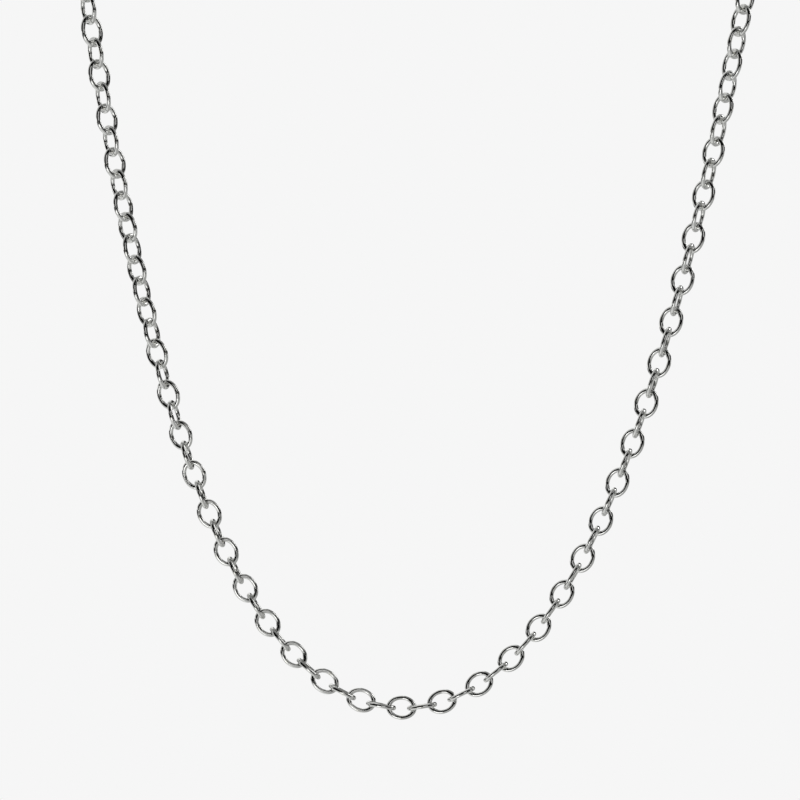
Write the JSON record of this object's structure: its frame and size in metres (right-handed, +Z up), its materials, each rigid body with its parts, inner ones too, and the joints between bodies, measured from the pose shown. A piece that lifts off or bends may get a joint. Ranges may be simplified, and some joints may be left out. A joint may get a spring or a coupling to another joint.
{
  "type": "cable chain necklace",
  "caption": "Silver cable chain necklace of interlocking oval wire links, hanging in a free curve and closed at the nape by a plain spring ring clasp.",
  "frame": {"origin": "the middle of the loop's back, on the chain's centre line, where the necklace lies against the nape and its clasp sits", "axes": "+Z up, -Y towards the front, where the chain hangs, and +X to the viewer's right"},
  "size_m": [0.1069, 0.061, 0.1415],
  "materials": {
    "silver_link": "polished sterling silver wire, soldered and tumbled bright",
    "silver_clasp": "polished sterling silver tube"
  },
  "bodies": {
    "root": {"chain_left": "silver_link", "chain_right": "silver_link", "clasp": "silver_clasp"}
  },
  "joints": []
}
